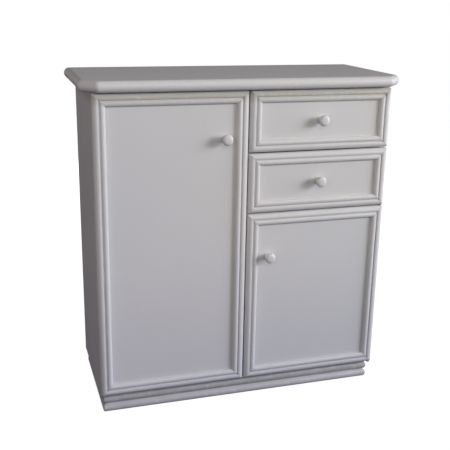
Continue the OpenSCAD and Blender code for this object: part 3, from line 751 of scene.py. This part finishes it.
def build_plinth():
    low, high = span("plinth_front", "plinth_left", "plinth_right")
    front_low, front_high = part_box("plinth_front")
    section = plinth_section(front_high.y - front_low.y, high.z - low.z)
    mitre = (math.pi / 4, PLINTH_CORNER_R)
    depth, width = high.y - low.y, high.x - low.x
    sides = [
        ("plinth_left", Vector((low.x, high.y, low.z)), -Y_AXIS, depth, SQUARE_END, mitre, paint_y),
        ("plinth_front", Vector((low.x, low.y, low.z)), X_AXIS, width, mitre, mitre, paint_x),
        ("plinth_right", Vector((high.x, low.y, low.z)), Y_AXIS, depth, mitre, SQUARE_END, paint_y),
    ]
    for node, origin, along, length, start, end, material in sides:
        bm = bmesh.new()
        strip(bm, section, origin, along, Z_AXIS.cross(along), Z_AXIS, length, start, end)
        add_piece(f"{node}_beaded", bm, material, node)


# ---------- carcass ----------

def build_carcass():
    for side in ("left", "right"):
        softened(f"side_{side}_painted", f"side_panel_{side}", paint_z, SIDE_EDGE)
    softened("divider_faced", "center_divider", faced, THIN_EDGE)
    softened("back_sheet", "back_panel", hardboard, THIN_EDGE)
    for node in ("bottom_panel", "drawer_shelf", "shelf_left_upper", "shelf_left_lower", "shelf_right"):
        bm = bmesh.new()
        board(bm, *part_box(node), BOARD_EDGE)
        add_piece(f"{node}_faced", bm, faced, node)
    for node, material in (("plinth_back", pine_x), ("plinth_blocks", pine_z), ("drawer_runners", pine_y)):
        bm = bmesh.new()
        for low, high in solid_boxes(node):
            board(bm, low, high, BLOCK_EDGE)
        add_piece(f"{node}_sanded", bm, material, node)


# ---------- drawer boxes ----------

def build_drawer_boxes():
    for drawer in ("drawer_upper", "drawer_lower"):
        softened(f"{drawer}_sides_sanded", f"{drawer}_sides", pine_y, DRAWER_SIDE_EDGE)
        softened(f"{drawer}_box_front_sanded", f"{drawer}_box_front", pine_x, BOARD_EDGE)
        softened(f"{drawer}_box_back_sanded", f"{drawer}_box_back", pine_x, BOARD_EDGE)


# ---------- hardware ----------

def headed_screw(bm, low, high, shank_r, head_h):
    """Screw with its head towards the back, in the box of the CAD's screw."""
    middle = (low + high) / 2
    head_at = Vector((middle.x, high.y - head_h, middle.z))
    rod(bm, Vector((middle.x, low.y, middle.z)), head_at, shank_r)
    screw_head(bm, head_at, Y_AXIS, X_AXIS, (high.x - low.x) / 2, head_h)


def bracket_screw(bm, low, high):
    """Screw with its head towards the front, through the leaf of a bracket."""
    middle = (low + high) / 2
    leaf_face = Vector((middle.x, low.y - BRACKET_LEAF_T, middle.z))
    rod(bm, leaf_face, Vector((middle.x, high.y, middle.z)), (high.x - low.x) / 2)
    screw_head(bm, leaf_face, -Y_AXIS, X_AXIS, BRACKET_HEAD_R, BRACKET_HEAD_H)


def build_screws():
    for owner in ("door_left", "door_right", "drawer_upper", "drawer_lower"):
        node = f"{owner}_knob_screw"
        bm = bmesh.new()
        headed_screw(bm, *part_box(node), KNOB_SHANK_R, KNOB_HEAD_H)
        add_piece(f"{node}_headed", bm, zinc, node)
    bm = bmesh.new()
    for low, high in solid_boxes("back_panel_screws"):
        headed_screw(bm, low, high, BACK_SHANK_R, BACK_HEAD_H)
    add_piece("back_panel_screws_headed", bm, zinc, "back_panel_screws")
    bm = bmesh.new()
    for low, high in solid_boxes("bracket_screws"):
        bracket_screw(bm, low, high)
    add_piece("bracket_screws_headed", bm, zinc, "bracket_screws")


def build_small_parts():
    softened("pivot_brackets_pressed", "pivot_brackets", zinc, PRESSED_EDGE)
    softened("magnetic_catches_moulded", "magnetic_catches", plastic, BLOCK_EDGE)
    softened("shelf_pins_turned", "shelf_pins", zinc, THIN_EDGE)
    for door in ("door_left", "door_right"):
        softened(f"{door}_strike_plate_pressed", f"{door}_strike_plate", zinc, PRESSED_EDGE)
        softened(f"{door}_bushes_turned", f"{door}_pivot_bushes", turned_brass, TURNED_EDGE)


def dress_cad():
    """CAD nodes that stay get their materials."""
    looks = {"raw_wood": pine_x, "hardboard": hardboard}
    for name, node in NODES.items():
        if not node.hide_render:
            node.data.materials.clear()
            node.data.materials.append(looks[SLOT_OF[name]])


# ---------- stage ----------

CAMERA_AT = Vector((-0.6440, -2.0053, 1.1105))
CAMERA_YAW, CAMERA_PITCH, CAMERA_ROLL = (math.radians(a) for a in (17.46, 16.93, 0.99))
CAMERA_LENS, CAMERA_SENSOR = 61.07, 36
SUN_AWAY = 6

SUN = ("window", 62, 16, 26, 1.55, (0.80, 0.80, 1.0))
# name, place, aim, size, power and colour
PANEL_LIGHTS = (
    ("window_near", (1.85, -1.70, 1.31), (0, -0.16, 0.6), (0.8, 0.6), 16.5, (1.0, 0.99, 0.90)),
    ("room_front", (-0.2, -2.2, 1.8), (0, -0.16, 0.7), (1.2, 0.8), 11, (1.0, 0.98, 0.78)),
    ("room_left", (-1.8, -2.2, 1.6), (-0.2, -0.16, 0.6), (1.0, 1.0), 8, (0.92, 0.82, 1.0)),
    ("room_right", (3.0, -0.3, 0.9), (0, 0, 0.5), (1.5, 1.5), 25, (0.90, 1.0, 0.92)),
    ("wall_left", (-3.0, 0.0, 0.8), (0, 0, 0.5), (1.5, 1.5), 7, (1.0, 0.86, 0.56)),
    ("wall_back", (0.7, 3.0, 0.45), (0, 0.18, 0.45), (2.4, 0.8), 45, (1.0, 0.98, 0.95)),
    ("ceiling", (0.0, -0.5, 3.2), (0, 0, 0.9), (2.5, 2.0), 6.5, (1.0, 0.93, 0.95)),
)
# world colours straight down, straight up, and from 2 degrees under the horizon to 12 degrees over it
WORLD_DOWN, WORLD_UP = (0.010, 0.015, 0.080), (0.03, 0.03, 0.03)
HORIZON = (
    (0.480, (0.020, 0.020, 0.040)),
    (0.494, (0.780, 0.780, 0.790)),
    (0.530, (0.500, 0.500, 0.510)),
    (0.600, (0.080, 0.080, 0.085)),
)
FLOOR_HALF = 300
FLOOR_TONE, FLOOR_PATCH, FLOOR_GLOW = (0.12, 0.12, 0.12), (0.115, 0.115, 0.115), 0.97


def add_camera():
    forward = Vector((
        math.sin(CAMERA_YAW) * math.cos(CAMERA_PITCH),
        math.cos(CAMERA_YAW) * math.cos(CAMERA_PITCH),
        -math.sin(CAMERA_PITCH),
    ))
    level = Vector((math.cos(CAMERA_YAW), -math.sin(CAMERA_YAW), 0))
    upright = level.cross(forward)
    right = level * math.cos(CAMERA_ROLL) + upright * math.sin(CAMERA_ROLL)
    up = upright * math.cos(CAMERA_ROLL) - level * math.sin(CAMERA_ROLL)
    data = bpy.data.cameras.new("camera")
    data.lens = CAMERA_LENS
    data.sensor_width = CAMERA_SENSOR
    camera = bpy.data.objects.new("camera", data)
    camera.matrix_world = Matrix.Translation(CAMERA_AT) @ Matrix((right, up, -forward)).transposed().to_4x4()
    bpy.context.scene.collection.objects.link(camera)
    bpy.context.scene.camera = camera


def place_light(name, data, power, colour, at, aim):
    data.energy = power
    data.color = colour
    light = bpy.data.objects.new(name, data)
    light.location = at
    light.rotation_mode = "QUATERNION"
    light.rotation_quaternion = (Vector(aim) - Vector(at)).to_track_quat("-Z", "Y")
    bpy.context.scene.collection.objects.link(light)


def add_sun(name, azimuth, elevation, angle, power, colour):
    """Far light; azimuth is measured from the front towards the right."""
    data = bpy.data.lights.new(name, "SUN")
    data.angle = math.radians(angle)
    a, e = math.radians(azimuth), math.radians(elevation)
    at = SUN_AWAY * Vector((math.sin(a) * math.cos(e), -math.cos(a) * math.cos(e), math.sin(e)))
    place_light(name, data, power, colour, at, (0, 0, 0))


def add_panel_light(name, at, aim, size, power, colour):
    data = bpy.data.lights.new(name, "AREA")
    data.shape = "RECTANGLE"
    data.size, data.size_y = size
    place_light(name, data, power, colour, at, aim)


def add_world():
    world = bpy.data.worlds.new("soft_room")
    bpy.context.scene.world = world
    world.use_nodes = True
    tree = world.node_tree
    where = tree.nodes.new("ShaderNodeTexCoord")
    split = tree.nodes.new("ShaderNodeSeparateXYZ")
    ramp = tree.nodes.new("ShaderNodeValToRGB")
    shift = tree.nodes.new("ShaderNodeMapRange")
    shift.inputs["From Min"].default_value = -1
    tree.links.new(where.outputs["Generated"], split.inputs[0])
    tree.links.new(split.outputs["Z"], shift.inputs["Value"])
    tree.links.new(shift.outputs["Result"], ramp.inputs["Fac"])
    stops = ramp.color_ramp.elements
    stops[0].color = (*WORLD_DOWN, 1)
    stops[1].color = (*WORLD_UP, 1)
    for position, colour in HORIZON:
        stops.new(position).color = (*colour, 1)
    tree.links.new(ramp.outputs["Color"], tree.nodes["Background"].inputs["Color"])


def add_floor():
    bm = bmesh.new()
    bmesh.ops.create_grid(bm, x_segments=2, y_segments=2, size=FLOOR_HALF)
    mesh = bpy.data.meshes.new("floor")
    bm.to_mesh(mesh)
    bm.free()
    n = Nodes("pale_floor")
    tone = n.mix(n.noise(n.coords((1, 1, 1)), 0.8, 2), FLOOR_TONE, FLOOR_PATCH)
    glow = {"Emission_Color": (1, 1, 1, 1), "Emission_Strength": FLOOR_GLOW}
    mesh.materials.append(n.shade(Base_Color=tone, Roughness=0.9, **glow))
    floor = bpy.data.objects.new("floor", mesh)
    floor.visible_diffuse = False
    floor.visible_glossy = False
    bpy.context.scene.collection.objects.link(floor)


def add_stage():
    scene = bpy.context.scene
    scene.view_settings.view_transform = "Standard"
    add_camera()
    add_world()
    add_floor()
    add_sun(*SUN)
    for light in PANEL_LIGHTS:
        add_panel_light(*light)


add_stage()
build_top()
build_fronts()
build_plinth()
build_carcass()
build_drawer_boxes()
build_screws()
build_small_parts()
dress_cad()
